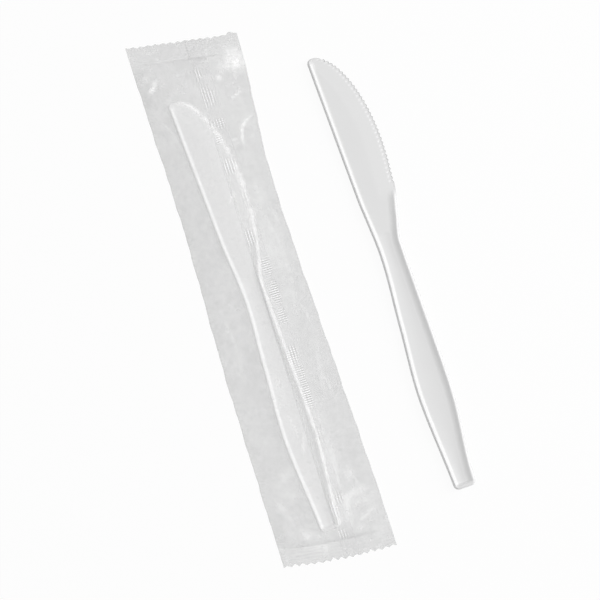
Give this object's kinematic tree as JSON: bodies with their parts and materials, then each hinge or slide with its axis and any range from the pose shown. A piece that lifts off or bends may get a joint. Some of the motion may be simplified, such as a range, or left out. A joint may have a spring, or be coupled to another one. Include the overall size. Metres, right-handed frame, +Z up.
{
  "type": "pack of plastic knives",
  "caption": "White disposable plastic knife sealed in a clear film sleeve with crimped, zigzag-cut ends, and a matching bare knife lying beside it.",
  "frame": {"origin": "under the middle of the set's footprint, on the surface that it lies on", "axes": "+Z up from the surface, +Y along the sleeve towards the knife tips, +X across from the sleeve to the bare knife"},
  "size_m": [0.0802, 0.201, 0.007],
  "materials": {
    "clear_film": "clear, slightly hazy packing film",
    "white_plastic": "smooth moulded white plastic with a soft sheen"
  },
  "bodies": {
    "root": {"film_wrapper": "clear_film", "wrapped_knife": "white_plastic", "loose_knife": "white_plastic"}
  },
  "joints": []
}
